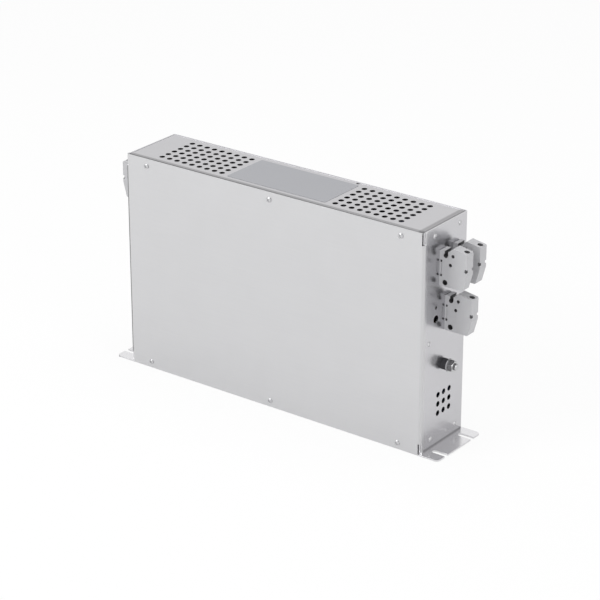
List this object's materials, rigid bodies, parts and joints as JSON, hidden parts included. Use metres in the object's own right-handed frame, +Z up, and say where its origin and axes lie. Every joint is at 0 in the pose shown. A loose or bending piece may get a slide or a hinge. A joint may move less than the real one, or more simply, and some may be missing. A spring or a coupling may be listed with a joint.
{
  "type": "emi line filter",
  "caption": "Tall, narrow sheet-steel EMI line filter with a vented top, finger-safe wire terminals and an earth stud on each end wall, and open-slotted fixing ears at its foot.",
  "frame": {"origin": "centre of the base plate's underside, midway between the end walls and midway between the front cover and the back wall", "axes": "+X along the case towards the load terminals, +Y towards the back wall with the front cover facing -Y, +Z up"},
  "size_m": [0.4928, 0.0899, 0.2703],
  "materials": {
    "sheet_steel": "satin",
    "label": "matte",
    "fixing_steel": "satin",
    "rivet": "satin",
    "dark_steel": "satin",
    "terminal_plastic": "matte",
    "contact_brass": "satin",
    "copper": "satin",
    "core_coating": "satin",
    "rail_plastic": "matte",
    "board": "matte",
    "capacitor_box": "satin",
    "earth_capacitor": "satin",
    "resistor": "matte"
  },
  "bodies": {
    "root": {"base_plate": "sheet_steel", "case_shell": "sheet_steel", "top_panel": "sheet_steel", "front_cover": "sheet_steel", "rating_label": "label", "cover_screw_1": "fixing_steel", "cover_screw_2": "fixing_steel", "cover_screw_3": "fixing_steel", "cover_screw_4": "fixing_steel", "cover_screw_5": "fixing_steel", "cover_screw_6": "fixing_steel", "end_rivets_load": "rivet", "foot_angle_load": "sheet_steel", "earth_stud_load": "fixing_steel", "inner_nut_load": "dark_steel", "outer_nut_load": "fixing_steel", "end_rivets_line": "rivet", "foot_angle_line": "sheet_steel", "earth_stud_line": "fixing_steel", "inner_nut_line": "dark_steel", "outer_nut_line": "fixing_steel", "terminal_1_housing": "terminal_plastic", "terminal_1_conductor": "contact_brass", "terminal_1_clamp_screw": "fixing_steel", "terminal_1_lock": "rail_plastic", "terminal_2_housing": "terminal_plastic", "terminal_2_conductor": "contact_brass", "terminal_2_clamp_screw": "fixing_steel", "terminal_2_lock": "rail_plastic", "terminal_3_housing": "terminal_plastic", "terminal_3_conductor": "contact_brass", "terminal_3_clamp_screw": "fixing_steel", "terminal_3_lock": "rail_plastic", "terminal_4_housing": "terminal_plastic", "terminal_4_conductor": "contact_brass", "terminal_4_clamp_screw": "fixing_steel", "terminal_4_lock": "rail_plastic", "terminal_5_housing": "terminal_plastic", "terminal_5_conductor": "contact_brass", "terminal_5_clamp_screw": "fixing_steel", "terminal_5_lock": "rail_plastic", "terminal_6_housing": "terminal_plastic", "terminal_6_conductor": "contact_brass", "terminal_6_clamp_screw": "fixing_steel", "terminal_6_lock": "rail_plastic", "busbar_1": "copper", "busbar_2": "copper", "busbar_3": "copper", "choke_core_1": "core_coating", "choke_core_2": "core_coating", "choke_core_3": "core_coating", "line_capacitor_1": "capacitor_box", "line_capacitor_2": "capacitor_box", "line_capacitor_3": "capacitor_box", "core_rail": "rail_plastic", "capacitor_tray": "board", "earth_capacitors": "earth_capacitor", "discharge_resistors": "resistor"}
  },
  "joints": []
}
